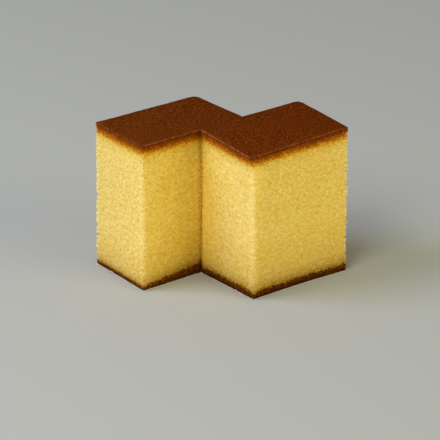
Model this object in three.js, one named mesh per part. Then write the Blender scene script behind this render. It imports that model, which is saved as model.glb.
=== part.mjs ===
// Castella: a tall honey sponge cut to a stepped plan, on the thin paper it was baked on.
// Millimetres, +Z up, +X along the longer sides, -Y towards the front. The origin is on the
// underside of the paper, at the middle of the whole cake's box.

import * as THREE from 'three';

// Driving sizes.
const REAR = { length: 53.5, depth: 34.0 };
const FRONT = { length: 52.3, depth: 35.6 };
const STAGGER = 31.6;
const CAKE_HEIGHT = 67.0;
const PAPER = { thickness: 0.4, overhang: 0.7 };

// The sponge's soft upright corners, and the firmer ones of the browned crust above them.
const SPONGE_CORNER_RADIUS = 2.4;
const CRUST_CORNER_RADIUS = 0.7;
const CRUST_THICKNESS = 4.0;

// The walls swell a little at half height and draw in under the crust and at the base.
const WALL_SWELL = 0.35;
const BASE_TUCK = 0.1;
const RIM_INSET = 0.35;
const RIM_DROP = 0.3;

// Slow waves left in the walls by the knife.
const WAVE_DEPTH = 0.1;
const WAVE_LENGTHS = { along: 23, up: 31, across: 17 };

// Mesh rows: fine ones beside every edge, wide ones between.
const EDGE_ROWS = [0.8, 2.4];
const WIDE_ROW = 4.6;
const EDGE_REACH = EDGE_ROWS[EDGE_ROWS.length - 1];

// Lines of the plan. The two halves share the line y = 0 between STAGGER and REAR.length.
const LEFT = 0;
const RIGHT = STAGGER + FRONT.length;
const BACK = REAR.depth;
const NEAR = -FRONT.depth;

// How far each hand-cut corner strays from the square plan, and how much higher its top stands.
const CORNER_DRIFT = {
  rearBackLeft: [0.1, 0.2, -0.2],
  rearBackRight: [-0.3, -0.2, -0.5],
  rearFrontLeft: [-0.1, -0.1, 0.2],
  innerFront: [-0.3, -0.1, 0.1],
  innerBack: [0.3, 0.2, 0.5],
  frontNearLeft: [0.3, 0.0, -0.9],
  frontNearRight: [-0.5, 0.0, 0.2],
  frontBackRight: [0.5, 0.0, 0.5],
};

// The same corners run along the three long lines of the plan, from left to right.
const BACK_LINE = [[LEFT, 'rearBackLeft'], [REAR.length, 'rearBackRight']];
const MIDDLE_LINE = [
  [LEFT, 'rearFrontLeft'],
  [STAGGER, 'innerFront'],
  [REAR.length, 'innerBack'],
  [RIGHT, 'frontBackRight'],
];
const NEAR_LINE = [[STAGGER, 'frontNearLeft'], [RIGHT, 'frontNearRight']];

// Walls: the fixed coordinate, its place, the side it faces and the stretch it runs along.
const WALLS = [
  { axis: 'x', at: LEFT, faces: -1, from: 0, to: BACK },
  { axis: 'y', at: BACK, faces: 1, from: LEFT, to: REAR.length },
  { axis: 'x', at: REAR.length, faces: 1, from: 0, to: BACK },
  { axis: 'y', at: 0, faces: 1, from: REAR.length, to: RIGHT },
  { axis: 'x', at: RIGHT, faces: 1, from: NEAR, to: 0 },
  { axis: 'y', at: NEAR, faces: -1, from: STAGGER, to: RIGHT },
  { axis: 'x', at: STAGGER, faces: -1, from: NEAR, to: 0 },
  { axis: 'y', at: 0, faces: -1, from: LEFT, to: STAGGER },
];

// Outward corners of the plan, with the direction that points away from the cake.
const OUTER_CORNERS = [
  { x: LEFT, y: BACK, outX: -1, outY: 1 },
  { x: REAR.length, y: BACK, outX: 1, outY: 1 },
  { x: LEFT, y: 0, outX: -1, outY: -1 },
  { x: STAGGER, y: NEAR, outX: -1, outY: -1 },
  { x: RIGHT, y: NEAR, outX: 1, outY: -1 },
  { x: RIGHT, y: 0, outX: 1, outY: 1 },
];

// The paper's outline, anticlockwise, with the way each corner is moved by the overhang.
const PAPER_CORNERS = [
  { x: LEFT, y: 0, outX: -1, outY: -1, line: MIDDLE_LINE },
  { x: STAGGER, y: 0, outX: -1, outY: -1, line: MIDDLE_LINE },
  { x: STAGGER, y: NEAR, outX: -1, outY: -1, line: NEAR_LINE },
  { x: RIGHT, y: NEAR, outX: 1, outY: -1, line: NEAR_LINE },
  { x: RIGHT, y: 0, outX: 1, outY: 1, line: MIDDLE_LINE },
  { x: REAR.length, y: 0, outX: 1, outY: 1, line: MIDDLE_LINE },
  { x: REAR.length, y: BACK, outX: 1, outY: 1, line: BACK_LINE },
  { x: LEFT, y: BACK, outX: -1, outY: 1, line: BACK_LINE },
];

// Mesh rows through a list of break lines, with the fine rows on both sides of each.
function rowsThrough(breaks) {
  const rows = [breaks[0]];
  for (let i = 1; i < breaks.length; i += 1) {
    const low = breaks[i - 1];
    const high = breaks[i];
    const inside = high - low - 2 * EDGE_REACH;
    const count = Math.max(1, Math.round(inside / WIDE_ROW));
    EDGE_ROWS.slice(0, -1).forEach((row) => rows.push(low + row));
    for (let k = 0; k <= count; k += 1) {
      rows.push(low + EDGE_REACH + (inside * k) / count);
    }
    EDGE_ROWS.slice(0, -1).reverse().forEach((row) => rows.push(high - row));
    rows.push(high);
  }
  return rows;
}

// Drift along one long line of the plan, blended between the corners on each side of x.
function driftOnLine(line, x) {
  let i = 1;
  while (i < line.length - 1 && x > line[i][0]) {
    i += 1;
  }
  const [x0, before] = line[i - 1];
  const [x1, after] = line[i];
  const share = THREE.MathUtils.clamp((x - x0) / (x1 - x0), 0, 1);
  const start = new THREE.Vector3(...CORNER_DRIFT[before]);
  return start.lerp(new THREE.Vector3(...CORNER_DRIFT[after]), share);
}

function driftAt(x, y) {
  const middle = driftOnLine(MIDDLE_LINE, x);
  return y > 0
    ? middle.lerp(driftOnLine(BACK_LINE, x), y / BACK)
    : middle.lerp(driftOnLine(NEAR_LINE, x), y / NEAR);
}

// Turns the square corner patches of the plan into quarter discs.
function roundCorners(x, y, radius) {
  for (const corner of OUTER_CORNERS) {
    const centreX = corner.x - corner.outX * radius;
    const centreY = corner.y - corner.outY * radius;
    const a = (x - centreX) * corner.outX / radius;
    const b = (y - centreY) * corner.outY / radius;
    if (a > 0 && a <= 1.0001 && b > 0 && b <= 1.0001) {
      return [
        centreX + corner.outX * radius * a * Math.sqrt(1 - b * b / 2),
        centreY + corner.outY * radius * b * Math.sqrt(1 - a * a / 2),
      ];
    }
  }
  return [x, y];
}

// How far a wall stands out of the square plan at a height, from 0 at the base to 1 at the top.
function wallOffset(x, y, level) {
  const swell = WALL_SWELL * Math.sin(Math.PI * Math.min(1, level * 1.04));
  const tuck = BASE_TUCK * Math.exp(-level * CAKE_HEIGHT / EDGE_REACH);
  const rim = level === 1 ? RIM_INSET : 0;
  const turn = 2 * Math.PI;
  const wave = Math.sin(turn * (x / WAVE_LENGTHS.along + level * CAKE_HEIGHT / WAVE_LENGTHS.up))
    + Math.sin(turn * (y / WAVE_LENGTHS.across - level * CAKE_HEIGHT / WAVE_LENGTHS.along));
  return swell - tuck - rim + WAVE_DEPTH * wave * Math.sin(Math.PI * level);
}

// Moves a point of the square plan outwards by the offset of each wall it lies beside.
function pushWalls(x, y, level) {
  const offset = wallOffset(x, y, level);
  const moved = { x, y };
  for (const wall of WALLS) {
    const across = wall.axis === 'x' ? x : y;
    const along = wall.axis === 'x' ? y : x;
    const depth = (wall.at - across) * wall.faces;
    if (along >= wall.from && along <= wall.to && depth >= 0 && depth < EDGE_REACH) {
      moved[wall.axis] += wall.faces * offset * (1 - depth / EDGE_REACH);
    }
  }
  return [moved.x, moved.y];
}

function isOnPlanEdge(x, y) {
  return WALLS.some((wall) => {
    const across = wall.axis === 'x' ? x : y;
    const along = wall.axis === 'x' ? y : x;
    return across === wall.at && along >= wall.from && along <= wall.to;
  });
}

// The real place of a point of the square block: x and y in the plan, z above the base.
function placePoint(x, y, z) {
  const level = z / CAKE_HEIGHT;
  const firmness = THREE.MathUtils.smoothstep(z, CAKE_HEIGHT - CRUST_THICKNESS, CAKE_HEIGHT);
  const radius = THREE.MathUtils.lerp(SPONGE_CORNER_RADIUS, CRUST_CORNER_RADIUS, firmness);
  const drift = driftAt(x, y);
  const [roundX, roundY] = roundCorners(x, y, radius);
  const [pushedX, pushedY] = pushWalls(x, y, level);
  const drop = level === 1 && isOnPlanEdge(x, y) ? RIM_DROP : 0;
  return new THREE.Vector3(
    roundX + pushedX - x + drift.x,
    roundY + pushedY - y + drift.y,
    PAPER.thickness + z + drift.z * level - drop,
  );
}

// The stepped block as a grid of cells: a top, a base and a wall wherever a cell has no neighbour.
function castellaGeometry() {
  const xs = rowsThrough([LEFT, STAGGER, REAR.length, RIGHT]);
  const ys = rowsThrough([NEAR, 0, BACK]);
  const zs = rowsThrough([0, CAKE_HEIGHT]);
  const top = zs.length - 1;
  const positions = [];
  const indices = [];
  const numbers = new Map();

  const isCake = (i, j) => {
    const x = (xs[i] + xs[i + 1]) / 2;
    const y = (ys[j] + ys[j + 1]) / 2;
    return y > 0
      ? x > LEFT && x < REAR.length && y < BACK
      : x > STAGGER && x < RIGHT && y > NEAR;
  };
  const corner = (i, j, k) => {
    const key = `${i},${j},${k}`;
    if (!numbers.has(key)) {
      numbers.set(key, positions.length / 3);
      positions.push(...placePoint(xs[i], ys[j], zs[k]));
    }
    return numbers.get(key);
  };
  const quad = (a, b, c, d) => indices.push(a, b, c, a, c, d);
  const wall = (i0, j0, i1, j1) => {
    for (let k = 0; k < top; k += 1) {
      quad(corner(i0, j0, k), corner(i1, j1, k), corner(i1, j1, k + 1), corner(i0, j0, k + 1));
    }
  };

  for (let i = 0; i < xs.length - 1; i += 1) {
    for (let j = 0; j < ys.length - 1; j += 1) {
      if (!isCake(i, j)) {
        continue;
      }
      quad(corner(i, j, top), corner(i + 1, j, top), corner(i + 1, j + 1, top), corner(i, j + 1, top));
      quad(corner(i, j, 0), corner(i, j + 1, 0), corner(i + 1, j + 1, 0), corner(i + 1, j, 0));
      if (!isCake(i, j - 1)) {
        wall(i, j, i + 1, j);
      }
      if (!isCake(i + 1, j)) {
        wall(i + 1, j, i + 1, j + 1);
      }
      if (!isCake(i, j + 1)) {
        wall(i + 1, j + 1, i, j + 1);
      }
      if (!isCake(i - 1, j)) {
        wall(i, j + 1, i, j);
      }
    }
  }

  const geometry = new THREE.BufferGeometry();
  geometry.setAttribute('position', new THREE.Float32BufferAttribute(positions, 3));
  geometry.setIndex(indices);
  geometry.computeVertexNormals();
  return geometry;
}

// The paper is cut with the cake and shows as a narrow border all round it.
function paperGeometry() {
  const outline = PAPER_CORNERS.map(({ x, y, outX, outY, line }) => {
    const drift = driftOnLine(line, x);
    return new THREE.Vector2(
      x + drift.x + outX * PAPER.overhang,
      y + drift.y + outY * PAPER.overhang,
    );
  });
  return new THREE.ExtrudeGeometry(new THREE.Shape(outline), {
    depth: PAPER.thickness,
    bevelEnabled: false,
  });
}

const spongeMaterial = new THREE.MeshStandardMaterial({
  color: 0xe3bf5c,
  roughness: 0.9,
  metalness: 0,
});
const paperMaterial = new THREE.MeshStandardMaterial({
  color: 0xcfc6b4,
  roughness: 0.75,
  metalness: 0,
});

const castella = new THREE.Mesh(castellaGeometry(), spongeMaterial);
castella.name = 'castella';
const basePaper = new THREE.Mesh(paperGeometry(), paperMaterial);
basePaper.name = 'base_paper';

const group = new THREE.Group();
group.add(castella, basePaper);
const box = new THREE.Box3().setFromObject(group);
group.position.set(-(box.min.x + box.max.x) / 2, -(box.min.y + box.max.y) / 2, -box.min.z);

export default group;
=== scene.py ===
import math
from collections import namedtuple

import bmesh
import bpy
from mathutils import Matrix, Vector
from mathutils import noise as soft_noise


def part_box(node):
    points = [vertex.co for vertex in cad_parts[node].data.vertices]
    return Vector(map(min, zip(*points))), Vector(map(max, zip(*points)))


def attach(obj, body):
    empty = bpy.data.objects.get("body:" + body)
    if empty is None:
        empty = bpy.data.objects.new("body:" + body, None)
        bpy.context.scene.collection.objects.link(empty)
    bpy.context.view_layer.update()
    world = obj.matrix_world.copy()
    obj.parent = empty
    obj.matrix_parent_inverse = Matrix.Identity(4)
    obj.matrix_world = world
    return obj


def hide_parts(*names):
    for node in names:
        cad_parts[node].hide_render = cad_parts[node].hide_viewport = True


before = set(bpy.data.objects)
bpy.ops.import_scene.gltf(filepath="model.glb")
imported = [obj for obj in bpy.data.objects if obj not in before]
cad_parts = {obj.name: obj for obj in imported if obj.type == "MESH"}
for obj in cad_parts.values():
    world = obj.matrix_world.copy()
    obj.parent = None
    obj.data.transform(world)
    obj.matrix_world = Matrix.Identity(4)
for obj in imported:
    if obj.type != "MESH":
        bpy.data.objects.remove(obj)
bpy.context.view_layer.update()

# ---------------------------------------------------------------- sizes, in metres

MM = 0.001
TINY = 0.01 * MM
# A point this close to a line of the plan counts as lying beside it.
BESIDE = 1.0 * MM
# A unit vector that reaches this far along an axis counts as running along it.
ALONG_AXIS = 0.9
# Halfway through a range from 0 to 1.
MIDWAY = 0.5
PLAN_AXES = (0, 1)
Z_AXIS = 2

# The stepped plan of the cake, tied to the baking paper's box.
PLAN_MARGIN_LEFT = 0.8 * MM
PLAN_MARGIN_BACK = 0.9 * MM
PAPER_OVERHANG = 0.3 * MM
PAPER_THICKNESS = 0.12 * MM
REAR_LENGTH = 53.5 * MM
REAR_DEPTH = 34.0 * MM
FRONT_LENGTH = 52.3 * MM
FRONT_DEPTH = 35.6 * MM
STAGGER = 31.6 * MM
# How far the level top lies under the top of the cake's box.
TOP_SETBACK = 0.1 * MM

paper_low, paper_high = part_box("base_paper")
cake_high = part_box("castella")[1]
LEFT = paper_low.x + PLAN_MARGIN_LEFT
BACK = paper_high.y - PLAN_MARGIN_BACK
MIDDLE = BACK - REAR_DEPTH
NEAR = MIDDLE - FRONT_DEPTH
INNER_FRONT = LEFT + STAGGER
INNER_BACK = LEFT + REAR_LENGTH
RIGHT = INNER_FRONT + FRONT_LENGTH
BASE = paper_low.z + PAPER_THICKNESS + TINY
TOP = cake_high.z - TOP_SETBACK
HALFWAY_UP = TOP / 2

# Each hand-cut corner: its place in the square plan, then in millimetres how far it strays along X
# and Y, how much higher the top stands there, how far its foot spreads along X and Y, how much
# deeper the browning goes there, and how far the paper reaches beyond the foot along X and Y.
Corner = namedtuple(
    "Corner", "x y along across rise foot_along foot_across browning paper_along paper_across"
)
CORNERS = {
    "rear_back_left": Corner(LEFT, BACK, 0.25, 0.1, -0.2, -0.15, 1.1, 0.9, -0.6, 0.1),
    "rear_back_right": Corner(INNER_BACK, BACK, -0.6, -0.5, -0.5, 0.2, 0.0, 0.1, 0.3, 0.3),
    "rear_front_left": Corner(LEFT, MIDDLE, 0.1, 0.0, 0.2, 0.0, -0.2, 0.0, 0.0, 0.0),
    "inner_front": Corner(INNER_FRONT, MIDDLE, -0.3, 0.15, 0.1, 0.0, -0.35, 0.65, 0.0, 0.0),
    "inner_back": Corner(INNER_BACK, MIDDLE, 0.45, 0.45, 0.5, 0.0, 0.0, 1.7, 0.0, 0.0),
    "front_near_left": Corner(INNER_FRONT, NEAR, -0.25, 0.0, -0.9, 1.85, 0.15, -0.2, 0.0, 0.0),
    "front_near_right": Corner(RIGHT, NEAR, -0.2, 0.05, 0.2, -0.15, -0.35, 0.5, 0.7, 0.2),
    "front_back_right": Corner(RIGHT, MIDDLE, 0.7, 0.1, 0.5, -0.6, 0.0, 0.1, 0.4, 0.3),
}
# How far the paper follows the hollow foot of the near wall inwards, in millimetres.
PAPER_HOLLOW = 0.5


def between(first, second, x, y):
    """A point of the plan's edge, with all its strays blended from the corners beside it."""
    start = CORNERS[first]
    end = CORNERS[second]
    share = (x - start.x) / (end.x - start.x)
    return Corner(x, y, *(a + (b - a) * share for a, b in zip(start[2:], end[2:])))


# Where the lines of the other half meet the back and the near edge.
CORNERS["back_edge"] = between("rear_back_left", "rear_back_right", INNER_FRONT, BACK)
CORNERS["near_edge"] = between("front_near_left", "front_near_right", INNER_BACK, NEAR)
CORNERS["near_edge"] = CORNERS["near_edge"]._replace(foot_across=PAPER_HOLLOW)

REAR_CORNERS = ("rear_back_left", "rear_back_right", "inner_back", "rear_front_left")
FRONT_CORNERS = ("inner_front", "front_back_right", "front_near_right", "front_near_left")

CRUST_THICKNESS = 1.0 * MM
CRUST_OVERLAP = 0.3 * MM
SPONGE_TOP = TOP - CRUST_THICKNESS + CRUST_OVERLAP


# ---------------------------------------------------------------- camera and studio

LENS_LENGTH = 300
SENSOR_WIDTH = 36
VIEW_LIMIT = 20
CAMERA_TARGET = Vector((LEFT + 25.98 * MM, MIDDLE - 21.01 * MM, 34.4 * MM))
CAMERA_AZIMUTH = -36.54
CAMERA_ELEVATION = 24.49
CAMERA_DISTANCE = 1.5702

# Each soft light: its azimuth and elevation in degrees, its power in watts and its colour.
SOFT_LIGHTS = {
    "key_far_left": (-120, 45, 17.0, (0.60, 0.65, 1.0)),
    "key_left": (-65, 45, 10.8, (0.97, 1.0, 0.87)),
    "fill_right": (25, 20, 7.4, (1.0, 0.96, 0.66)),
}
LIGHTS_TARGET = Vector((0, 0, 35 * MM))
LIGHTS_DISTANCE = 1.4
LIGHTS_SIZE = 0.7
AIR_COLOUR = (1.0, 1.0, 1.0, 1)
AIR_STRENGTH = 0.31

FLOOR_SIZE = 6
FLOOR_COLOUR = (0.383, 0.379, 0.323, 1)
FLOOR_ROUGHNESS = 0.8
FLOOR_SPECULAR = 0.2


def aim(thing, target):
    """Turns a camera or a light so that it looks at a point."""
    line_of_sight = target - thing.location
    thing.rotation_euler = line_of_sight.to_track_quat("-Z", "Y").to_euler()


def seen_from(azimuth, elevation):
    """The direction of a place given by its angles. Azimuth 0 is in front, and grows to the right."""
    azimuth = math.radians(azimuth)
    elevation = math.radians(elevation)
    return Vector((
        math.sin(azimuth) * math.cos(elevation),
        -math.cos(azimuth) * math.cos(elevation),
        math.sin(elevation),
    ))


def set_camera():
    """A long lens from the front left, looking down a little."""
    lens = bpy.data.cameras.new("studio_camera")
    lens.lens = LENS_LENGTH
    lens.sensor_width = SENSOR_WIDTH
    lens.clip_end = VIEW_LIMIT
    camera = bpy.data.objects.new("studio_camera", lens)
    camera.location = CAMERA_TARGET + seen_from(CAMERA_AZIMUTH, CAMERA_ELEVATION) * CAMERA_DISTANCE
    bpy.context.scene.collection.objects.link(camera)
    aim(camera, CAMERA_TARGET)
    bpy.context.scene.camera = camera


def add_soft_light(name, azimuth, elevation, power, colour):
    """A square area light that faces the cake."""
    lamp = bpy.data.lights.new(name, "AREA")
    lamp.shape = "SQUARE"
    lamp.size = LIGHTS_SIZE
    lamp.energy = power
    lamp.color = colour
    light = bpy.data.objects.new(name, lamp)
    light.location = LIGHTS_TARGET + seen_from(azimuth, elevation) * LIGHTS_DISTANCE
    bpy.context.scene.collection.objects.link(light)
    aim(light, LIGHTS_TARGET)


def light_studio():
    """Two soft lights from the left, the further one cooler, a warmer one from the right, and a weak
    even light from all round."""
    for name, settings in SOFT_LIGHTS.items():
        add_soft_light(name, *settings)
    world = bpy.data.worlds.new("studio_air")
    bpy.context.scene.world = world
    world.use_nodes = True
    background = world.node_tree.nodes["Background"]
    background.inputs["Color"].default_value = AIR_COLOUR
    background.inputs["Strength"].default_value = AIR_STRENGTH


def add_floor():
    """A plain pale sheet under the cake."""
    bpy.ops.object.select_all(action="DESELECT")
    bpy.ops.mesh.primitive_plane_add(size=FLOOR_SIZE, location=(0, 0, 0))
    floor = bpy.context.object
    floor.name = "pale_floor"
    paint, _, shader = new_finish("pale_floor_paint")
    shader.inputs["Base Color"].default_value = FLOOR_COLOUR
    shader.inputs["Roughness"].default_value = FLOOR_ROUGHNESS
    shader.inputs["Specular IOR Level"].default_value = FLOOR_SPECULAR
    floor.data.materials.append(paint)


# ---------------------------------------------------------------- modelling helpers

# Where the flat ground between the pores begins, from 0 in the middle of a pore.
PORE_RIM = 0.45


def select_only(piece):
    """Makes one piece the only selected and the active one."""
    bpy.ops.object.select_all(action="DESELECT")
    piece.select_set(True)
    bpy.context.view_layer.objects.active = piece


def stretch_new_piece(name, size):
    """Names the unit shape that was just added, and gives it its size about its own middle."""
    piece = bpy.context.object
    piece.name = name
    piece.data.name = name
    piece.scale = size
    bpy.ops.object.transform_apply(location=True, rotation=False, scale=True)
    return piece


def start_editing(piece):
    select_only(piece)
    bpy.ops.object.mode_set(mode="EDIT")
    bpy.ops.mesh.select_all(action="DESELECT")


def stop_editing():
    bpy.ops.object.mode_set(mode="OBJECT")


def pick(piece, kind, wanted):
    """Selects just the vertices, edges or faces that pass a test, and returns how many."""
    bpy.ops.mesh.select_mode(type=kind)
    bpy.ops.mesh.select_all(action="DESELECT")
    shape = bmesh.from_edit_mesh(piece.data)
    parts = {"VERT": shape.verts, "EDGE": shape.edges, "FACE": shape.faces}[kind]
    chosen = [part for part in parts if wanted(part)]
    for part in chosen:
        part.select_set(True)
    shape.select_flush_mode()
    bmesh.update_edit_mesh(piece.data)
    return len(chosen)


def move(x=0.0, y=0.0, z=0.0):
    bpy.ops.transform.translate(value=(x, y, z))


def extrude(way):
    bpy.ops.mesh.extrude_region_move(TRANSFORM_OT_translate={"value": way})


def make_normals_look_out():
    bpy.ops.mesh.select_all(action="SELECT")
    bpy.ops.mesh.normals_make_consistent(inside=False)


def direction(edge):
    """The way an edge runs, as a unit vector."""
    return (edge.verts[1].co - edge.verts[0].co).normalized()


def runs_along(edge, axis):
    return abs(direction(edge)[axis]) > ALONG_AXIS


def is_upright(edge):
    return runs_along(edge, Z_AXIS)


def split(piece, wanted, pieces):
    """Cuts every edge that passes a test into equal pieces."""
    if pick(piece, "EDGE", wanted):
        bpy.ops.mesh.subdivide(number_cuts=pieces - 1)


def is_near(point, x, y, reach):
    return math.hypot(point.x - x, point.y - y) < reach


def corner_place(name, level):
    """Where a hand-cut corner stands in plan at one height."""
    corner = CORNERS[name]
    foot = (TOP - level) / (TOP - BASE)
    return (
        corner.x + (corner.along + corner.foot_along * foot) * MM,
        corner.y + (corner.across + corner.foot_across * foot) * MM,
    )


def pull_corner(piece, name):
    """Moves one corner of the square plan to its hand-cut place, with its own height and foot."""
    corner = CORNERS[name]
    pick(piece, "VERT", lambda v: is_near(v.co, corner.x, corner.y, TINY) and v.co.z > HALFWAY_UP)
    move(z=corner.rise * MM)
    pick(piece, "VERT", lambda v: is_near(v.co, corner.x, corner.y, TINY))
    move(corner.along * MM, corner.across * MM)
    top = corner_place(name, TOP)
    pick(piece, "VERT", lambda v: is_near(v.co, *top, TINY) and v.co.z < HALFWAY_UP)
    move(corner.foot_along * MM, corner.foot_across * MM)


def push(piece, name, strength, weight, texture=None, way="NORMAL"):
    """Pushes the surface out, evenly or by a solid texture. The weight is a vertex group's name, or a
    function that works it out from each point's place."""
    relief = piece.modifiers.new(name, "DISPLACE")
    relief.vertex_group = weight if isinstance(weight, str) else weigh(piece, name, weight)
    relief.strength = strength
    relief.direction = way
    relief.mid_level = 0.0
    if texture:
        relief.texture = texture
        relief.texture_coords = "LOCAL"
        relief.mid_level = MIDWAY
    select_only(piece)
    bpy.ops.object.modifier_apply(modifier=relief.name)


def weigh(piece, name, weight):
    """Makes a vertex group whose weights come from each point's place, and returns its name."""
    group = piece.vertex_groups.new(name=name)
    for vertex in piece.data.vertices:
        group.add([vertex.index], weight(vertex.co), "REPLACE")
    return group.name


# A relief of soft rounded noise: how far it goes from its pits to its crests, the size of its
# features, and how many finer layers it has.
Relief = namedtuple("Relief", "strength size detail")


def push_clouds(piece, name, relief, weight, way="NORMAL"):
    """Gives the surface a relief of soft rounded noise."""
    texture = bpy.data.textures.new(name, "CLOUDS")
    texture.noise_scale = relief.size
    texture.noise_depth = relief.detail
    push(piece, name, relief.strength, weight, texture, way)


def pores(name, size):
    """Small round pits with flat ground between them."""
    texture = bpy.data.textures.new(name, "VORONOI")
    texture.noise_scale = size
    texture.noise_intensity = 1.0
    texture.use_color_ramp = True
    pit, ground = texture.color_ramp.elements
    pit.position = 0.0
    pit.color = (0, 0, 0, 1)
    ground.position = PORE_RIM
    ground.color = (MIDWAY, MIDWAY, MIDWAY, 1)
    return texture


def clamp(share):
    return min(1.0, max(0.0, share))


def ease(gone, whole, value):
    """0 at one end, 1 at the other, and a smooth turn between. Either end may be the higher one."""
    share = clamp((value - gone) / (whole - gone))
    return share * share * (3 - 2 * share)


# ---------------------------------------------------------------- sponge

# Radius of each soft upright corner of the sponge. The two inner ones make the creases.
SPONGE_CORNER_RADII = {
    "rear_back_left": 0.7 * MM,
    "rear_back_right": 1.4 * MM,
    "rear_front_left": 1.3 * MM,
    "inner_front": 0.6 * MM,
    "inner_back": 0.8 * MM,
    "front_near_left": 1.3 * MM,
    "front_near_right": 0.55 * MM,
    "front_back_right": 1.6 * MM,
}
# How crumbly each upright corner is.
CRUMBLING = {
    "rear_back_left": 0.9,
    "rear_back_right": 0.4,
    "rear_front_left": 0.12,
    "inner_front": 0.27,
    "inner_back": 0.27,
    "front_near_left": 0.12,
    "front_near_right": 1.0,
    "front_back_right": 0.4,
}
WIDEST_RADIUS = max(SPONGE_CORNER_RADII.values())
# About how wide the facets of the rounded corners are.
CORNER_FACET = 0.36 * MM
# How far a square corner stands out beyond a round one, as a share of its radius, and how much of
# that the firm layers fill again.
SQUARE_GAP = math.sqrt(2) - 1
CORNER_FILL = 0.85

# How the walls are divided: upright edges twice over, and then edges along the walls, each time
# those between two lengths, into so many equal pieces.
UPRIGHT_CUTS = (12, 15)
WALL_CUTS = (
    (40 * MM, math.inf, 12),
    (20 * MM, 40 * MM, 8),
    (2 * MM, math.inf, 12),
)
# How far the relief may have moved the open rims of the walls up or down.
RIM_SLACK = 2 * MM
SMOOTH_ANGLE = math.radians(50)

# How far each form of the walls goes.
WALL_SWELL = 0.12 * MM
CORNER_SWELL = 0.7 * MM
FOOT_HOLLOW = 0.6 * MM
WALL_LEAN = 0.4 * MM
BLUNT_DEPTH = 0.8 * MM
BITE_DEPTH = 1.0 * MM

# Where each form is gone and where it is whole, as levels or as distances from its own line.
FIRM_LAYER = 2.2 * MM
SOFT_DEPTH = 5.0 * MM
FIRM_AT_FOOT = (BASE + SOFT_DEPTH, BASE + FIRM_LAYER)
FIRM_AT_TOP = (TOP - SOFT_DEPTH, TOP - FIRM_LAYER)
SWELL_AT_FOOT = (BASE, BASE + SOFT_DEPTH)
SWELL_AT_TOP = (TOP - 0.5 * MM, TOP - SOFT_DEPTH)
CORNER_SWELL_ALONG = (16 * MM, 0)
CORNER_SWELL_ACROSS = (6 * MM, 1 * MM)
FOOT_HOLLOW_ACROSS = (3 * MM, 0)
FOOT_HOLLOW_LEVELS = (BASE + 9 * MM, BASE)
LEAN_AT_TOP = (TOP - 1 * MM, TOP - 7 * MM)
LEAN_AT_FOOT = (BASE, TOP - 15 * MM)
LEAN_GONE = 6 * MM
LEAN_WHOLE = 1 * MM
CRUMBLING_AT_TOP = (TOP - 1 * MM, TOP - 4 * MM)
CRUMBLING_AT_FOOT = (BASE + 1 * MM, BASE + 5 * MM)
BITE_NOISE = (0.05, 0.4)
BITE_WIDTH = 3 * MM
BITE_HEIGHT = 0.9 * MM
# The belly's curve ends a little above the top.
BELLY_BEYOND_TOP = 1 * MM
# The hidden stretch where the two halves meet starts this far from the inner corners.
SEAM_MARGIN = 2 * MM

KNIFE_WAVES = Relief(0.35 * MM, 19 * MM, 1)
CRUMB_LUMPS = Relief(0.34 * MM, 2.0 * MM, 3)
CORNER_CRUMBS = Relief(1.95 * MM, 1.0 * MM, 2)
CRUMB_GRAIN = Relief(0.11 * MM, 0.8 * MM, 2)
# The pores are half as deep as their strength.
PORE_STRENGTH = 0.40 * MM
PORE_SIZE = 1.1 * MM

# How high the browned base layer stands, in millimetres, at distances from the left of each half,
# and how strongly it is baked. It dips at the near left corner.
REAR_BASE_LAYER = ((0.0, 1.55), (3.0, 1.95), (15.0, 3.2), (31.6, 4.7), (53.5, 3.0))
FRONT_BASE_LAYER = ((0.0, 3.0), (5.0, 3.2), (26.0, 3.1), (48.0, 2.8), (52.3, 3.4))
LAYER_DIP = 0.85 * MM
REAR_BASE_BAKE = 0.75
FRONT_BASE_BAKE = 1.1
USUAL_LAYER = 3.0 * MM

# How far each mark and form reaches from its upright corner, along X and along Y.
# The crease shade is painted shade that darkens the crumb in the two inner corners.
CREASE_SHADE_REACH = (2.4 * MM, 2.4 * MM)
WARM_LIGHT_REACH = (45 * MM, 16 * MM)
CORNER_HIGHLIGHT_REACH = (2.4 * MM, 4.8 * MM)
SUNNY_REACH = (10 * MM, 2 * MM)
FAR_DIM_REACH = (3 * MM, 34 * MM)
INNER_DIM_REACH = (30 * MM, 24 * MM)
LAYER_DIP_REACH = (4 * MM, 4 * MM)
CRUMBLING_REACH = (2.5 * MM, 2.5 * MM)
BLUNT_REACH = (3.2 * MM, 3.2 * MM)

# How much painted pale light the left walls get, standing in for the cooler light from the left, and how
# far from their line that ends, and how much painted light and shade make the crumb brighter or dimmer
# towards some corners.
LEFT_WALL_PAINTED_LIGHT = 0.3
LEFT_WALL_GONE = 1.5 * MM
LEFT_WALL_WHOLE = 0.5 * MM
SUNNY_GAIN = 0.13
DIM_LOSS = 0.07
INNER_DIM_GAIN = 2
INNER_DIM_LEVELS = (TOP - 16 * MM, TOP - 9 * MM)

# What the crumb's finish follows, in the order in which mark_browning stores it.
MARKS = (
    "depth_under_crust", "height_over_base", "crease_shade", "painted_warm_light", "painted_pale_light", "painted_light_and_shade"
)


def plan_box(corner_names):
    """The lowest and highest X, and the lowest and highest Y, of one half's square plan."""
    xs = [CORNERS[name].x for name in corner_names]
    ys = [CORNERS[name].y for name in corner_names]
    return min(xs), max(xs), min(ys), max(ys)


def blend(corner_names, measure, point):
    """A measure of the corners of one half, in millimetres there, blended over a point of the plan."""
    low_x, high_x, low_y, high_y = plan_box(corner_names)
    share_x = (point.x - low_x) / (high_x - low_x)
    share_y = (point.y - low_y) / (high_y - low_y)
    total = 0.0
    for name in corner_names:
        spot = CORNERS[name]
        weight_x = share_x if spot.x == high_x else 1 - share_x
        weight_y = share_y if spot.y == high_y else 1 - share_y
        total += weight_x * weight_y * getattr(spot, measure) * MM
    return total


def closeness(point, name, reach):
    """1 at an upright corner, falling to 0 at a reach along each wall beside it."""
    x, y = corner_place(name, point.z)
    reach_x, reach_y = reach
    return 1 - ease(0, 1, math.hypot((point.x - x) / reach_x, (point.y - y) / reach_y))


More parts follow.
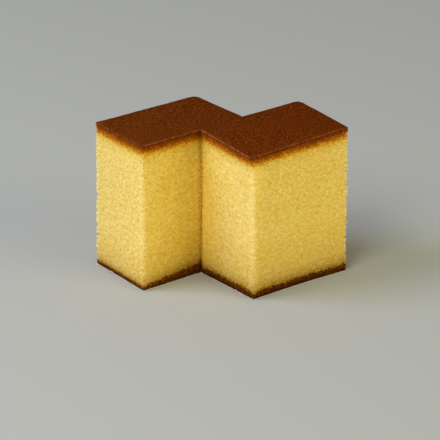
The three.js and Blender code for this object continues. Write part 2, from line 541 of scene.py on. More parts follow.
def is_in_seam(point):
    """Whether a point lies on the hidden stretch where the two halves meet."""
    between_corners = INNER_FRONT + SEAM_MARGIN < point.x < INNER_BACK - SEAM_MARGIN
    return abs(point.y - MIDDLE) < BESIDE and between_corners


def outside_seam(point):
    return 0.0 if is_in_seam(point) else 1.0


def swell(point):
    """The walls draw in under the crust and at the base, and stand out between."""
    return outside_seam(point) * ease(*SWELL_AT_FOOT, point.z) * ease(*SWELL_AT_TOP, point.z)


def belly(point):
    """How far a wall has sprung after the cut: 0 at its foot, 1 halfway up, almost 0 at its top."""
    return math.sin(math.pi * (point.z - BASE) / (TOP + BELLY_BEYOND_TOP - BASE))


def corner_swell(point, corner_x, corner_y):
    """The long walls stand out most next to one upright corner."""
    along = ease(*CORNER_SWELL_ALONG, abs(point.x - corner_x))
    across = ease(*CORNER_SWELL_ACROSS, abs(point.y - corner_y))
    return along * across * belly(point)


def foot_hollow(point, low_x, high_x):
    """The foot of the near wall draws in a little between its corners."""
    along = math.sin(math.pi * clamp((point.x - low_x) / (high_x - low_x)))
    return along * ease(*FOOT_HOLLOW_ACROSS, point.y - NEAR) * ease(*FOOT_HOLLOW_LEVELS, point.z)


def wall_lean(point, low_x):
    """The knife leaned in under the crust along the left wall of the near half."""
    tall = ease(*LEAN_AT_TOP, point.z) * ease(*LEAN_AT_FOOT, point.z)
    return tall * ease(low_x + LEAN_GONE, low_x + LEAN_WHOLE, point.x)


def firmness(z):
    """The browned layers at the base and under the crust keep the corners that the knife cut."""
    return max(ease(*FIRM_AT_FOOT, z), ease(*FIRM_AT_TOP, z))


def corner_filling(point, corner_names):
    """How much a rounded corner is filled out again towards its square one."""
    low_x, _, low_y, _ = plan_box(corner_names)
    for name in corner_names:
        x, y = corner_place(name, point.z)
        side_x = 1 if CORNERS[name].x > low_x else -1
        side_y = 1 if CORNERS[name].y > low_y else -1
        radius = SPONGE_CORNER_RADII[name]
        a = (point.x - x) * side_x + radius
        b = (point.y - y) * side_y + radius
        if a > 0 and b > 0:
            angle = math.atan2(b, a)
            gap = 1 / max(math.cos(angle), math.sin(angle)) - 1
            return gap / SQUARE_GAP * firmness(point.z) * radius / WIDEST_RADIUS
    return 0.0


def corner_crumbling(point, corner_names):
    """How much crumb has come loose: most at the upright corners, none at the crust and the base."""
    soft = ease(*CRUMBLING_AT_TOP, point.z) * ease(*CRUMBLING_AT_FOOT, point.z)
    return soft * max(CRUMBLING[name] * closeness(point, name, CRUMBLING_REACH) for name in corner_names)


def bite(point):
    """1 where a crumb has been torn out of a corner, and 0 between."""
    place = Vector((point.x / BITE_WIDTH, point.y / BITE_WIDTH, point.z / BITE_HEIGHT))
    return ease(*BITE_NOISE, soft_noise.noise(place))


def layer_height(stops, distance):
    """The height of a layer between (distance, height) stops."""
    for (start, low), (end, high) in zip(stops, stops[1:]):
        if distance < end:
            return low + (high - low) * max(0.0, distance - start) / (end - start)
    return stops[-1][1]


def far_corner(point):
    """1 at the two back corners on the right, falling to 0 around them."""
    return max(closeness(point, name, BLUNT_REACH) for name in ("rear_back_right", "front_back_right"))


def blunt_far_corners(piece):
    """Rounds the two back corners on the right, which were knocked in a little."""
    for way in ("X", "Y"):
        push(piece, "blunt_corner_" + way, -BLUNT_DEPTH, far_corner, way=way)


def mark_browning(half, corner_names, base_layer, base_bake):
    """Stores what the finish follows: depth under the crust, height over the base layer, which runs up
    to 0 inside that layer, the painted shade of the creases, the painted warm light beside the front
    one, the painted pale light of the outer corners and the left walls, and the painted light and shade
    that make the crumb brighter or dimmer."""
    for mark in MARKS:
        half.data.attributes.new(mark, "FLOAT", "POINT")
    depth, height, crease_shade, warm_light, pale, painted_light_and_shade = (half.data.attributes[mark].data for mark in MARKS)
    outer = [name for name in corner_names if not name.startswith("inner")]
    left = plan_box(corner_names)[0]
    for index, vertex in enumerate(half.data.vertices):
        point = vertex.co
        top = TOP + blend(corner_names, "rise", point)
        depth[index].value = top - point.z - blend(corner_names, "browning", point)
        layer = layer_height(base_layer, (point.x - left) / MM) * MM
        layer -= LAYER_DIP * closeness(point, "front_near_left", LAYER_DIP_REACH)
        over = point.z - BASE - layer
        if over > 0:
            height[index].value = over * math.sqrt(USUAL_LAYER / layer)
        else:
            height[index].value = over / layer * base_bake * MM
        # Painted shade in the two inner creases.
        crease_shade[index].value = max(
            closeness(point, name, CREASE_SHADE_REACH) for name in ("inner_front", "inner_back")
        )
        # Painted warm light: a deeper, slightly brighter yellow on the crumb towards the front inner
        # corner.
        warm_light[index].value = closeness(point, "inner_front", WARM_LIGHT_REACH)
        # Painted pale light: on the left walls for the cooler light from the left, and as painted
        # highlights along the outer upright corners.
        on_left_wall = ease(left + LEFT_WALL_GONE, left + LEFT_WALL_WHOLE, point.x)
        corner_highlight = max(closeness(point, name, CORNER_HIGHLIGHT_REACH) for name in outer)
        pale[index].value = max(LEFT_WALL_PAINTED_LIGHT * on_left_wall, corner_highlight)
        # Painted light and shade: brighter by the near left corner, with painted shade by the far left
        # corner and high up beside the front inner corner.
        sunny = closeness(point, "front_near_left", SUNNY_REACH) * ease(BASE, TOP, point.z)
        far_dim = closeness(point, "rear_back_left", FAR_DIM_REACH)
        inner_dim = closeness(point, "inner_front", INNER_DIM_REACH)
        inner_dim *= INNER_DIM_GAIN * ease(*INNER_DIM_LEVELS, point.z)
        painted_light_and_shade[index].value = 1 + SUNNY_GAIN * sunny - DIM_LOSS * max(far_dim, inner_dim)


def sponge_walls(name, corner_names):
    """The four walls of one half: hand-cut corners, soft upright edges, and no top or underside."""
    low_x, high_x, low_y, high_y = plan_box(corner_names)
    bpy.ops.object.select_all(action="DESELECT")
    bpy.ops.mesh.primitive_cube_add(
        size=1,
        location=((low_x + high_x) / 2, (low_y + high_y) / 2, (BASE + SPONGE_TOP) / 2),
    )
    half = stretch_new_piece(name, (high_x - low_x, high_y - low_y, SPONGE_TOP - BASE))

    start_editing(half)
    for corner in corner_names:
        pull_corner(half, corner)
    for corner in corner_names:
        top = corner_place(corner, TOP)
        pick(half, "EDGE", lambda e: is_upright(e) and any(is_near(v.co, *top, TINY) for v in e.verts))
        radius = SPONGE_CORNER_RADII[corner]
        quarter_turn = radius * math.pi / 2
        bpy.ops.mesh.bevel(offset=radius, segments=round(quarter_turn / CORNER_FACET), affect="EDGES")
    pick(half, "FACE", lambda f: abs(f.normal.z) > ALONG_AXIS)
    bpy.ops.mesh.delete(type="ONLY_FACE")
    for pieces in UPRIGHT_CUTS:
        split(half, is_upright, pieces)
    for shortest, longest, pieces in WALL_CUTS:
        split(half, lambda e: not is_upright(e) and shortest < e.calc_length() < longest, pieces)
    stop_editing()
    return half


def shape_walls(half, corner_names):
    """Gives the walls their swell and hollows, and then their crumb from coarse to fine."""
    low_x, high_x, low_y, high_y = plan_box(corner_names)
    filling = SQUARE_GAP * WIDEST_RADIUS * CORNER_FILL
    push(half, "firm_corners", filling, lambda p: corner_filling(p, corner_names))
    push(half, "swell", WALL_SWELL, swell)
    for side, x, y in ((-1, low_x, low_y), (1, high_x, high_y)):
        push(half, "corner_swell", side * CORNER_SWELL, lambda p: corner_swell(p, x, y), way="Y")
    if low_y < MIDDLE - BESIDE:
        push(half, "foot_hollow", FOOT_HOLLOW, lambda p: foot_hollow(p, low_x, high_x), way="Y")
        push(half, "wall_lean", WALL_LEAN, lambda p: wall_lean(p, low_x), way="X")
    blunt_far_corners(half)
    push_clouds(half, "knife_waves", KNIFE_WAVES, outside_seam)
    push_clouds(half, "crumb_lumps", CRUMB_LUMPS, outside_seam)
    push_clouds(half, "corner_crumbs", CORNER_CRUMBS, lambda p: corner_crumbling(p, corner_names))
    push(half, "corner_bites", -BITE_DEPTH, lambda p: corner_crumbling(p, corner_names) * bite(p))
    push(half, "crumb_pores", PORE_STRENGTH, outside_seam, pores("crumb_pores", PORE_SIZE))
    push_clouds(half, "crumb_grain", CRUMB_GRAIN, outside_seam)


def sponge_half(name, corner_names, base_layer, base_bake):
    """One half of the sponge, with its walls marked for the finish, shaped, and closed again."""
    half = sponge_walls(name, corner_names)
    mark_browning(half, corner_names, base_layer, base_bake)
    shape_walls(half, corner_names)
    start_editing(half)
    for level in (BASE, SPONGE_TOP):
        pick(half, "EDGE", lambda e: e.is_boundary and abs(e.verts[0].co.z - level) < RIM_SLACK)
        bpy.ops.mesh.edge_face_add()
    make_normals_look_out()
    stop_editing()
    bpy.ops.object.shade_smooth_by_angle(angle=SMOOTH_ANGLE)
    return half


# ---------------------------------------------------------------- stepped sheets

# How the sheets are divided: edges between two lengths into so many equal pieces, so that all are
# about 4 mm long, and then what lies between the last two lengths finely.
SHEET_CUTS = ((25 * MM, 60 * MM, 8), (10 * MM, 25 * MM, 5))
SHEET_FINE_EDGES = (2 * MM, 10 * MM)


def is_at(value, line):
    return abs(value - line) < TINY


def stepped_sheet(name, level, fine_cuts):
    """A flat sheet of the stepped plan: four joined rectangles, pulled to the hand-cut corners."""
    bpy.ops.object.select_all(action="DESELECT")
    bpy.ops.mesh.primitive_plane_add(
        size=1,
        location=((LEFT + INNER_FRONT) / 2, (MIDDLE + BACK) / 2, level),
    )
    sheet = stretch_new_piece(name, (STAGGER, REAR_DEPTH, 1))

    start_editing(sheet)
    pick(sheet, "EDGE", lambda e: all(is_at(v.co.x, INNER_FRONT) for v in e.verts))
    extrude((INNER_BACK - INNER_FRONT, 0, 0))
    pick(sheet, "EDGE", lambda e: all(
        is_at(v.co.y, MIDDLE) and v.co.x > INNER_FRONT - TINY for v in e.verts))
    extrude((0, NEAR - MIDDLE, 0))
    pick(sheet, "EDGE", lambda e: all(
        is_at(v.co.x, INNER_BACK) and v.co.y < MIDDLE + TINY for v in e.verts))
    extrude((RIGHT - INNER_BACK, 0, 0))
    for corner in CORNERS:
        pull_corner(sheet, corner)
    for axis in PLAN_AXES:
        for shortest, longest, pieces in (*SHEET_CUTS, (*SHEET_FINE_EDGES, fine_cuts)):
            split(sheet, lambda e: runs_along(e, axis) and shortest < e.calc_length() < longest, pieces)
    stop_editing()
    return sheet


def thicken(sheet, thickness):
    """Turns the flat sheet into a slab, downwards."""
    start_editing(sheet)
    pick(sheet, "FACE", lambda f: True)
    extrude((0, 0, -thickness))
    make_normals_look_out()
    stop_editing()


def grow_outline(sheet, grow):
    """Moves the outline of a flat sheet outwards in plan."""
    start_editing(sheet)
    for axis in PLAN_AXES:
        for side in (-1, 1):
            pick(sheet, "EDGE", lambda e: e.is_boundary and faces_out(e, axis) == side)
            step = [0.0, 0.0]
            step[axis] = side * grow
            move(*step)
    stop_editing()


def faces_out(edge, axis):
    """1 or -1 where an outline edge looks out along an axis, and 0 where it looks along the other."""
    if runs_along(edge, axis):
        return 0
    middle = (edge.verts[0].co + edge.verts[1].co) / 2
    away = middle - edge.link_faces[0].calc_center_median()
    return 1 if away[axis] > 0 else -1


# ---------------------------------------------------------------- crust

CRUST_FINE_CUTS = 7
CRUST_SIDE_CUTS = 3
CRUST_EDGE_RADIUS = 0.25 * MM
CRUST_EDGE_SEGMENTS = 3
CRUST_LIP = 0.05 * MM
CRUST_SWELL = Relief(0.25 * MM, 14 * MM, 1)
CRUST_GRAIN = Relief(0.14 * MM, 1.1 * MM, 3)
# The relief is weaker further than this under the level top, which is the crust's underside and the
# foot of its side at the low corners.
FULL_RELIEF_DEPTH = 1.2 * MM
LOW_RELIEF = 0.3

# How the parts of a normal tell the top, the side and the rounded rim between them apart.
RIM_SIDE_TILT = 0.5
TOP_NORMAL = 0.93
SIDE_NORMAL = 0.25
LEFT_NORMAL = -0.5
FACING_NORMAL = -0.3
# How clearly the pale cut rim of the crust shows, by the way its edge faces. This is partly the rim's
# own paler colour and partly a painted highlight, and the sides facing left are lighter by painted
# light.
RIM_BY_STEP = 0.7
RIM_ON_STEP_SIDE = 1.0
RIM_ON_REAR_FRONT = 0.9
RIM_ON_FRONT_FRONT = 0.75
RIM_FADE = 0.3
RIM_ELSEWHERE = 0.20
SIDE_ON_LEFT = 0.28
SIDE_ELSEWHERE = 0.16
TOP_BESIDE_RIM = 0.09
TOP_REACH = 2.6 * MM


def crust_relief(point):
    return 1.0 if point.z > TOP - FULL_RELIEF_DEPTH else LOW_RELIEF


def top_crust():
    """The browned top: a thin leathery skin over both halves, with a fine rounded rim."""
    crust = stepped_sheet("browned_crust", TOP, CRUST_FINE_CUTS)
    grow_outline(crust, CRUST_LIP)
    thicken(crust, CRUST_THICKNESS)
    start_editing(crust)
    split(crust, is_upright, CRUST_SIDE_CUTS)
    pick(crust, "EDGE", is_rim)
    bpy.ops.mesh.bevel(offset=CRUST_EDGE_RADIUS, segments=CRUST_EDGE_SEGMENTS, affect="EDGES")
    stop_editing()
    mark_rim(crust)
    blunt_far_corners(crust)
    push_clouds(crust, "crust_swell", CRUST_SWELL, crust_relief)
    push_clouds(crust, "crust_grain", CRUST_GRAIN, crust_relief)
    bpy.ops.object.shade_smooth_by_angle(angle=SMOOTH_ANGLE)
    return crust


def is_rim(edge):
    """An edge between the sheet's top and its side."""
    if len(edge.link_faces) != 2:
        return False
    tilts = sorted(face.normal.z for face in edge.link_faces)
    return tilts[0] < RIM_SIDE_TILT and tilts[1] > ALONG_AXIS


def rim_distance(point):
    """How far a point of the top lies from the nearest cut side on the left or in front."""
    beside_rear = point.x - LEFT if point.y > MIDDLE else point.x - INNER_FRONT
    beside_front = point.y - MIDDLE if point.x < INNER_FRONT else point.y - NEAR
    return max(0.0, min(beside_rear, beside_front))


def rim_paleness_and_highlight(point, normal):
    """How clearly the pale cut rim and its painted highlight show at a point of the crust."""
    if normal.z > TOP_NORMAL:
        return TOP_BESIDE_RIM * ease(TOP_REACH, 0, rim_distance(point))
    if normal.z < SIDE_NORMAL:
        return SIDE_ON_LEFT if normal.x < LEFT_NORMAL else SIDE_ELSEWHERE
    on_front_half = point.y < MIDDLE - BESIDE
    if normal.x < FACING_NORMAL and on_front_half:
        share = (MIDDLE - point.y) / FRONT_DEPTH
        return RIM_BY_STEP + (RIM_ON_STEP_SIDE - RIM_BY_STEP) * share
    if normal.y < FACING_NORMAL and on_front_half:
        share = (point.x - INNER_FRONT) / FRONT_LENGTH
        return RIM_ON_FRONT_FRONT * (1 - RIM_FADE * share)
    if normal.y < FACING_NORMAL:
        share = (point.x - LEFT) / STAGGER
        return RIM_ON_REAR_FRONT * (1 - RIM_FADE * share)
    return RIM_ELSEWHERE


def mark_rim(crust):
    """Stores where the pale cut rim and its painted highlight show, which the crust's finish follows."""
    rim = crust.data.attributes.new("cut_rim_and_highlight", "FLOAT", "POINT")
    for vertex, mark in zip(crust.data.vertices, rim.data):
        mark.value = rim_paleness_and_highlight(vertex.co, vertex.normal)


# ---------------------------------------------------------------- paper

PAPER_FINE_CUTS = 3
PAPER_REACH_LENGTH = 12 * MM
PAPER_REACH_STEPS = 3
PAPER_LIFT = 0.04 * MM
PAPER_WAVES = Relief(0.12 * MM, 6 * MM, 1)
PAPER_CUT_X = Relief(0.25 * MM, 4 * MM, 2)
PAPER_CUT_Y = Relief(0.25 * MM, 5 * MM, 2)
PAPER_SMOOTH_ANGLE = math.radians(40)
# Where the knife dragged the paper, how wide the crumple is and how it stands out and up.
KINKS = ((LEFT, BACK - 10.2 * MM), (INNER_FRONT, MIDDLE - 23.7 * MM))
KINK_REACH = 1.1 * MM
KINK_OUT = 0.45 * MM
KINK_UP = 0.5 * MM


def reach_corner(paper, name):
    """Pulls the paper's outline out beyond the foot of the cake, most at the corner itself."""
    corner = CORNERS[name]
    x, y = corner_place(name, BASE)
    lines = (
        ((corner.paper_along, 0, 0), lambda p: abs(p.x - x) < BESIDE, lambda p: abs(p.y - y)),
        ((0, corner.paper_across, 0), lambda p: abs(p.y - y) < BESIDE, lambda p: abs(p.x - x)),
    )
    for step in range(1, PAPER_REACH_STEPS + 1):
        reach = step / PAPER_REACH_STEPS * PAPER_REACH_LENGTH
        for way, is_on_line, distance in lines:
            pick(paper, "VERT", lambda v: v.is_boundary and is_on_line(v.co) and distance(v.co) < reach)
            move(*(part * MM / PAPER_REACH_STEPS for part in way))


def kink(paper, x, y):
    """A small crumple where the knife dragged the paper: one bit of its outline stands up and out."""
    pick(paper, "VERT", lambda v: v.is_boundary and is_near(v.co, x, y, KINK_REACH))
    move(-KINK_OUT, 0, KINK_UP)


def base_sheet():
    """The baking paper, cut with the cake. It lies flat, and its overhang lifts in soft waves."""
    paper = stepped_sheet("baking_sheet", BASE, PAPER_FINE_CUTS)
    grow_outline(paper, PAPER_OVERHANG)
    start_editing(paper)
    for name in CORNERS:
        reach_corner(paper, name)
    for x, y in KINKS:
        kink(paper, x, y)
    pick(paper, "EDGE", lambda e: e.is_boundary)
    bpy.ops.object.vertex_group_add()
    bpy.ops.object.vertex_group_assign()
    stop_editing()
    overhang = "overhang"
    paper.vertex_groups.active.name = overhang
    push(paper, "paper_lift", PAPER_LIFT, overhang, way="Z")
    push_clouds(paper, "paper_waves", PAPER_WAVES, overhang, "Z")
    push_clouds(paper, "paper_cut_x", PAPER_CUT_X, overhang, "X")
    push_clouds(paper, "paper_cut_y", PAPER_CUT_Y, overhang, "Y")
    thicken(paper, PAPER_THICKNESS)
    bpy.ops.object.shade_smooth_by_angle(angle=PAPER_SMOOTH_ANGLE)
    return paper


# ---------------------------------------------------------------- shader helpers

# The mix node's colour sockets, by their place, because its other sockets share their names.
MIX_FACTOR = 0
MIX_FIRST = 6
MIX_SECOND = 7
MIX_RESULT = 2


def new_finish(name):
    """A new material, its node tree and its main shader."""
    finish = bpy.data.materials.new(name)
    finish.use_nodes = True
    return finish, finish.node_tree, finish.node_tree.nodes["Principled BSDF"]


def fill(tree, socket, value):
    """Links a socket to another node, or gives it a plain value."""
    if isinstance(value, bpy.types.NodeSocket):
        tree.links.new(value, socket)
    else:
        socket.default_value = value


def add(tree, kind, inputs=None, **settings):
    """Adds a shader node, sets it up and fills its inputs."""
    made = tree.nodes.new(kind)
    for key, value in settings.items():
        setattr(made, key, value)
    for key, value in (inputs or {}).items():
        fill(tree, made.inputs[key], value)
    return made


def stored(tree, name):
    """A number stored at each point of the mesh."""
    return add(tree, "ShaderNodeAttribute", attribute_name=name).outputs["Fac"]


def object_place(tree):
    return add(tree, "ShaderNodeTexCoord").outputs["Object"]


def stretch(tree, place, scale):
    return add(tree, "ShaderNodeMapping", {"Vector": place, "Scale": scale}).outputs["Vector"]


def ramp(tree, factor, stops):
    """A colour ramp from (position, colour) stops."""
    made = add(tree, "ShaderNodeValToRGB", {"Fac": factor})
    bar = made.color_ramp
    while len(bar.elements) < len(stops):
        bar.elements.new(MIDWAY)
    for element, (position, colour) in zip(bar.elements, stops):
        element.position = position
        element.color = (*colour, 1)
    return made.outputs["Color"]


def greys(*stops):
    """The stops of a plain grey ramp, from (position, brightness) pairs."""
    return tuple((position, (grey, grey, grey)) for position, grey in stops)


def mix(tree, factor, first, second, mode="MIX"):
    made = add(tree, "ShaderNodeMix", data_type="RGBA", blend_type=mode)
    for index, value in ((MIX_FACTOR, factor), (MIX_FIRST, first), (MIX_SECOND, second)):
        fill(tree, made.inputs[index], value)
    return made.outputs[MIX_RESULT]


def tint(tree, colour, tone, factor=1.0):
    """A colour multiplied by a tone, wholly or by a share."""
    return mix(tree, factor, colour, tone, "MULTIPLY")


def maths(tree, operation, *values):
    made = add(tree, "ShaderNodeMath", operation=operation)
    for index, value in enumerate(values):
        fill(tree, made.inputs[index], value)
    return made.outputs["Value"]


def times(tree, first, second):
    return maths(tree, "MULTIPLY", first, second)


def plus(tree, first, second):
    return maths(tree, "ADD", first, second)


def swing(tree, value, reach):
    """Turns noise from 0 to 1 into one that swings about 0, over a reach in all."""
    return times(tree, maths(tree, "SUBTRACT", value, MIDWAY), reach)


def noise(tree, place, size, detail, roughness=0.5, curl=0.0):
    """Soft noise with features of a given size in metres, from 0 to 1. Curl twists it into fibres."""
    return add(tree, "ShaderNodeTexNoise", {
        "Vector": place,
        "Scale": 1 / size,
        "Detail": detail,
        "Roughness": roughness,
        "Distortion": curl,
    }).outputs["Fac"]


def depth_ramp(tree, depth, stops):
    """Colours by depth in millimetres."""
    low = stops[0][0]
    reach = stops[-1][0] - low
    share = maths(tree, "DIVIDE", maths(tree, "SUBTRACT", depth, low * MM), reach * MM)
    return ramp(tree, share, [((level - low) / reach, colour) for level, colour in stops])


def bump(tree, shader, height, distance, strength):
    """Lets a height tilt the way the surface takes the light."""
    relief = add(tree, "ShaderNodeBump", {"Height": height, "Distance": distance, "Strength": strength})
    fill(tree, shader.inputs["Normal"], relief.outputs["Normal"])


# ---------------------------------------------------------------- crumb finish

# How the browning tints the crumb, by depth in millimetres under the crust and over the base layer. Over
# the base, the slow darkening from about 3 mm up is painted shade, darker towards the bottom.
BROWNED_TOP = (
    (0.4, (0.205, 0.050, 0.007)),
    (1.6, (0.28, 0.095, 0.020)),
    (2.7, (0.45, 0.190, 0.030)),
    (3.5, (0.62, 0.325, 0.048)),
    (4.0, (0.75, 0.50, 0.115)),
    (4.6, (0.84, 0.70, 0.34)),
    (5.4, (0.90, 0.84, 0.64)),
    (6.8, (0.95, 0.92, 0.85)),
    (9.0, (1.0, 1.0, 1.0)),
)
BROWNED_AND_SHADED_BASE = (
    (-1.3, (0.034, 0.0140, 0.005)),
    (-1.0, (0.049, 0.0205, 0.005)),
    (-0.5, (0.083, 0.0325, 0.005)),
    (-0.1, (0.136, 0.052, 0.008)),
    (0.2, (0.210, 0.096, 0.024)),
    (0.55, (0.345, 0.228, 0.105)),
    (1.05, (0.475, 0.375, 0.23)),
    (1.75, (0.56, 0.475, 0.325)),
    # From about 3 mm up, the slow darkening towards the bottom is painted shade.
    (3.0, (0.675, 0.61, 0.50)),
    (7.0, (0.845, 0.805, 0.725)),
    (14.0, (0.93, 0.89, 0.80)),
    (26.0, (1.0, 1.0, 1.0)),
)
# How speckled the browned crumb is, by the same depths.
SPECKLED_TOP = greys((3.0, 0.9), (6.5, 0.0))
SPECKLED_BASE = greys((0.6, 0.9), (3.5, 0.0))

# Noises: the size of their features, then how detailed, how rough and how curled they are.
GRAIN_NOISE = (0.8 * MM, 3, 0.6, 1.0)
LUMP_NOISE = (2.2 * MM, 3)
PATCH_NOISE = (12 * MM, 1)
HOLE_NOISE = (1.1 * MM, 1)
HONEY_NOISE = (3.0 * MM, 3, 0.6)
SPECK_NOISE = (0.75 * MM, 2)
FRINGE_NOISE = (1.3 * MM, 3, 0.65)
# The crumb's cells lie flat, and the honey runs in level streaks.
CRUMB_STRETCH = (1, 1, 1.6)
STREAK_STRETCH = (0.5, 0.5, 1.5)

# The crumb from its pits to its crests, and how much of it is fine grain and how much lumps.
CRUMB_COLOURS = (
    (0.30, (0.63, 0.37, 0.028)),
    (0.46, (0.83, 0.58, 0.107)),
    (0.60, (0.93, 0.715, 0.235)),
)
GRAIN_SHARE = 0.6
LUMP_SHARE = 0.4
PATCH_COLOUR = (0.78, 0.48, 0.06, 1)
PATCH_SHARE = 0.15
# Painted pale light: a paler, bluer crumb on the left walls and painted highlights along the outer
# upright corners.
PALE_LIGHT_COLOUR = (0.92, 0.76, 0.36, 1)
PALE_LIGHT_SHARE = 0.38
HOLES = greys((0.56, 0.0), (0.69, 0.75))
HOLE_COLOUR = (0.65, 0.34, 0.006, 1)
HONEY = greys((0.54, 0.0), (0.72, 0.42))
HONEY_COLOUR = (0.82, 0.47, 0.035, 1)
# Painted warm light: a deeper, slightly brighter yellow on the crumb beside the front inner corner.
WARM_LIGHT_TONE = (1.06, 1.04, 0.71, 1)
# How ragged and how uneven the edge of the browning is, and how much that counts near the base.
FRINGE_REACH = 3.9 * MM
TEETH_REACH = 1.7 * MM
DRIFT_REACH = 1.4 * MM
RAGGED_AT_BASE = greys((0.0, 0.85), (0.6, 1.0))
# The specks break up the painted shade in the creases and the browned crumb, by a gain and an offset.
CREASE_SHADE_SPECKS = (7.0, -3.0)
# The colour of the painted shade in the creases.
CREASE_SHADE_TONE = (0.70, 0.50, 0.20, 1)
BROWNED_SPECKS = (2.4, -0.2)
WHITE = (1, 1, 1, 1)
CRUMB_ROUGHNESS = 0.8
CRUMB_SPECULAR = 0.02
CRUMB_GLOW = 0.8
CRUMB_GLOW_RADIUS = (1.0, 0.85, 0.5)
CRUMB_GLOW_SCALE = 2.0 * MM
CRUMB_BUMP_HEIGHT = 0.3 * MM
CRUMB_BUMP_STRENGTH = 0.4


def sponge_finish():
    """Fine yellow crumb, browned under the crust and over the paper, darkened by painted shade towards
    the bottom and in the creases, with painted light on some walls and corners.
    """
    finish, tree, shader = new_finish("honey_sponge_crumb")
    place = object_place(tree)
    flattened = stretch(tree, place, CRUMB_STRETCH)
    patches = noise(tree, place, *PATCH_NOISE)
    grain = times(tree, noise(tree, flattened, *GRAIN_NOISE), GRAIN_SHARE)
    lumps = times(tree, noise(tree, flattened, *LUMP_NOISE), LUMP_SHARE)
    crumb = plus(tree, grain, lumps)
    body = ramp(tree, crumb, CRUMB_COLOURS)
    body = mix(tree, times(tree, patches, PATCH_SHARE), body, PATCH_COLOUR)
    body = mix(tree, times(tree, stored(tree, "painted_pale_light"), PALE_LIGHT_SHARE), body, PALE_LIGHT_COLOUR)
    holes = ramp(tree, noise(tree, flattened, *HOLE_NOISE), HOLES)
    body = mix(tree, holes, body, HOLE_COLOUR)
    streaked = stretch(tree, place, STREAK_STRETCH)
    honey = ramp(tree, noise(tree, streaked, *HONEY_NOISE), HONEY)
    body = mix(tree, honey, body, HONEY_COLOUR)
    body = tint(tree, body, WARM_LIGHT_TONE, stored(tree, "painted_warm_light"))
    # Painted light and shade, brighter or dimmer towards some corners.
    body = tint(tree, body, stored(tree, "painted_light_and_shade"))

    specks = noise(tree, flattened, *SPECK_NOISE)
    fringe = swing(tree, noise(tree, flattened, *FRINGE_NOISE), FRINGE_REACH)
    ragged = plus(tree, fringe, swing(tree, specks, TEETH_REACH))
    drift = swing(tree, patches, DRIFT_REACH)
    under_crust = plus(tree, stored(tree, "depth_under_crust"), plus(tree, ragged, drift))
    over_base = stored(tree, "height_over_base")
    ragged_at_base = ramp(tree, maths(tree, "DIVIDE", over_base, MM), RAGGED_AT_BASE)
    over_base = plus(tree, over_base, times(tree, ragged, ragged_at_base))
    crease_shading = times(tree, stored(tree, "crease_shade"), maths(tree, "MULTIPLY_ADD", specks, *CREASE_SHADE_SPECKS))
    colour = tint(tree, body, depth_ramp(tree, under_crust, BROWNED_TOP))
    colour = tint(tree, colour, depth_ramp(tree, over_base, BROWNED_AND_SHADED_BASE))
    colour = tint(tree, colour, mix(tree, crease_shading, WHITE, CREASE_SHADE_TONE))
    speckled_top = depth_ramp(tree, under_crust, SPECKLED_TOP)
    speckled_base = depth_ramp(tree, over_base, SPECKLED_BASE)
    speckled = maths(tree, "MAXIMUM", speckled_top, speckled_base)
    colour = tint(tree, colour, maths(tree, "MULTIPLY_ADD", specks, *BROWNED_SPECKS), speckled)

    fill(tree, shader.inputs["Base Color"], colour)
    shader.inputs["Roughness"].default_value = CRUMB_ROUGHNESS
    shader.inputs["Specular IOR Level"].default_value = CRUMB_SPECULAR
    shader.inputs["Subsurface Weight"].default_value = CRUMB_GLOW
    shader.inputs["Subsurface Radius"].default_value = CRUMB_GLOW_RADIUS
    shader.inputs["Subsurface Scale"].default_value = CRUMB_GLOW_SCALE
    bump(tree, shader, crumb, CRUMB_BUMP_HEIGHT, CRUMB_BUMP_STRENGTH)
    return finish


# ---------------------------------------------------------------- crust finish

MOTTLE_NOISE = (0.7 * MM, 3, 0.7)
MOTTLE_COLOURS = (
    (0.36, (0.043, 0.0084, 0.0010)),
    (0.50, (0.095, 0.0210, 0.0025)),
    (0.64, (0.215, 0.0504, 0.0068)),
)
CRUST_PATCH_NOISE = (9 * MM, 1)
CRUST_PATCH_COLOUR = (0.08, 0.017, 0.001, 1)
CRUST_PATCH_SHARE = 0.25
# The crust gets darker from left to right, and a little redder from the rear half to the front.
DARKER_TONE = (0.85, 0.77, 0.64, 1)
REDDER_TONE = (1.07, 0.99, 0.95, 1)
REDDER_REACH = 12 * MM
# The pale rim is broken by gaps and by the specks, which count by a gain and an offset.
RIM_GAP_NOISE = (2.5 * MM, 2)
RIM_GAPS = greys((0.35, 0.25), (0.55, 1.0))
RIM_SPECKS = (2.2, -0.3)
# The rim's colours: partly the pale cut edge, partly a painted highlight.
CUT_AND_HIGHLIGHT_COLOURS = (
    (0.6, (0.44, 0.122, 0.018)),
    (1.0, (0.35, 0.148, 0.062)),
)
CRUST_ROUGHNESS = 0.6
CRUST_SPECULAR = 0.0
CRUST_BUMP_HEIGHT = 0.25 * MM
CRUST_BUMP_STRENGTH = 0.8


def fade(tree, value, start, end):
    """0 where a value is at its start, and 1 at its end."""
    inputs = {"Value": value, "From Min": start, "From Max": end}
    return add(tree, "ShaderNodeMapRange", inputs).outputs["Result"]


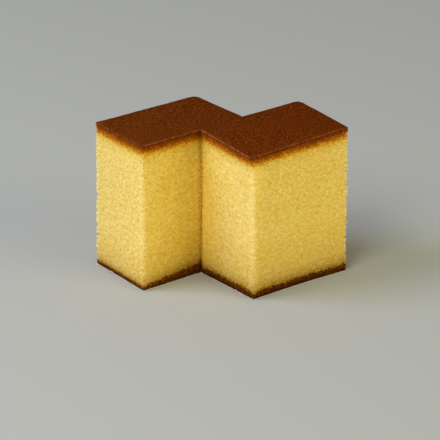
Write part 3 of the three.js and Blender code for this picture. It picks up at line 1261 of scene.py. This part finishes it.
def crust_finish():
    """Dark brown leathery skin with fine lighter specks, paler along its cut rim, partly its own colour
    and partly a painted highlight.
    """
    finish, tree, shader = new_finish("browned_leathery_crust")
    place = object_place(tree)
    axes = add(tree, "ShaderNodeSeparateXYZ", {"Vector": place})
    rim = stored(tree, "cut_rim_and_highlight")
    mottle = noise(tree, place, *MOTTLE_NOISE)
    patches = noise(tree, place, *CRUST_PATCH_NOISE)
    tone = ramp(tree, mottle, MOTTLE_COLOURS)
    tone = mix(tree, times(tree, patches, CRUST_PATCH_SHARE), tone, CRUST_PATCH_COLOUR)
    tone = tint(tree, tone, DARKER_TONE, fade(tree, axes.outputs["X"], LEFT, RIGHT))
    to_front = fade(tree, axes.outputs["Y"], MIDDLE + REDDER_REACH, MIDDLE - REDDER_REACH)
    tone = tint(tree, tone, REDDER_TONE, to_front)
    whole_rim = ramp(tree, noise(tree, place, *RIM_GAP_NOISE), RIM_GAPS)
    specks = maths(tree, "MULTIPLY_ADD", mottle, *RIM_SPECKS)
    pale_rim_and_highlight = times(tree, times(tree, rim, whole_rim), specks)
    tone = mix(tree, pale_rim_and_highlight, tone, ramp(tree, rim, CUT_AND_HIGHLIGHT_COLOURS))
    fill(tree, shader.inputs["Base Color"], tone)
    shader.inputs["Roughness"].default_value = CRUST_ROUGHNESS
    shader.inputs["Specular IOR Level"].default_value = CRUST_SPECULAR
    bump(tree, shader, mottle, CRUST_BUMP_HEIGHT, CRUST_BUMP_STRENGTH)
    return finish


# ---------------------------------------------------------------- paper finish

FIBRE_NOISE = (4 * MM, 4, 0.7)
FIBRE_COLOURS = (
    (0.35, (0.42, 0.35, 0.25)),
    (0.65, (0.70, 0.61, 0.47)),
)
PAPER_ROUGHNESS = 0.6


def paper_finish():
    """Thin off-white paper with faint fibres."""
    finish, tree, shader = new_finish("baking_paper_sheet")
    fibres = noise(tree, object_place(tree), *FIBRE_NOISE)
    fill(tree, shader.inputs["Base Color"], ramp(tree, fibres, FIBRE_COLOURS))
    shader.inputs["Roughness"].default_value = PAPER_ROUGHNESS
    return finish


# ---------------------------------------------------------------- the cake

def finish_piece(piece, material, node):
    """Gives a piece its material and ties it to the frame."""
    piece.data.materials.append(material)
    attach(piece, "root")
    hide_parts(node)


set_camera()
light_studio()
add_floor()
bpy.context.scene.view_settings.view_transform = "Standard"

crumb_finish = sponge_finish()
rear_half = sponge_half("sponge_rear", REAR_CORNERS, REAR_BASE_LAYER, REAR_BASE_BAKE)
front_half = sponge_half("sponge_front", FRONT_CORNERS, FRONT_BASE_LAYER, FRONT_BASE_BAKE)
finish_piece(rear_half, crumb_finish, "castella")
finish_piece(front_half, crumb_finish, "castella")
finish_piece(top_crust(), crust_finish(), "castella")
finish_piece(base_sheet(), paper_finish(), "base_paper")
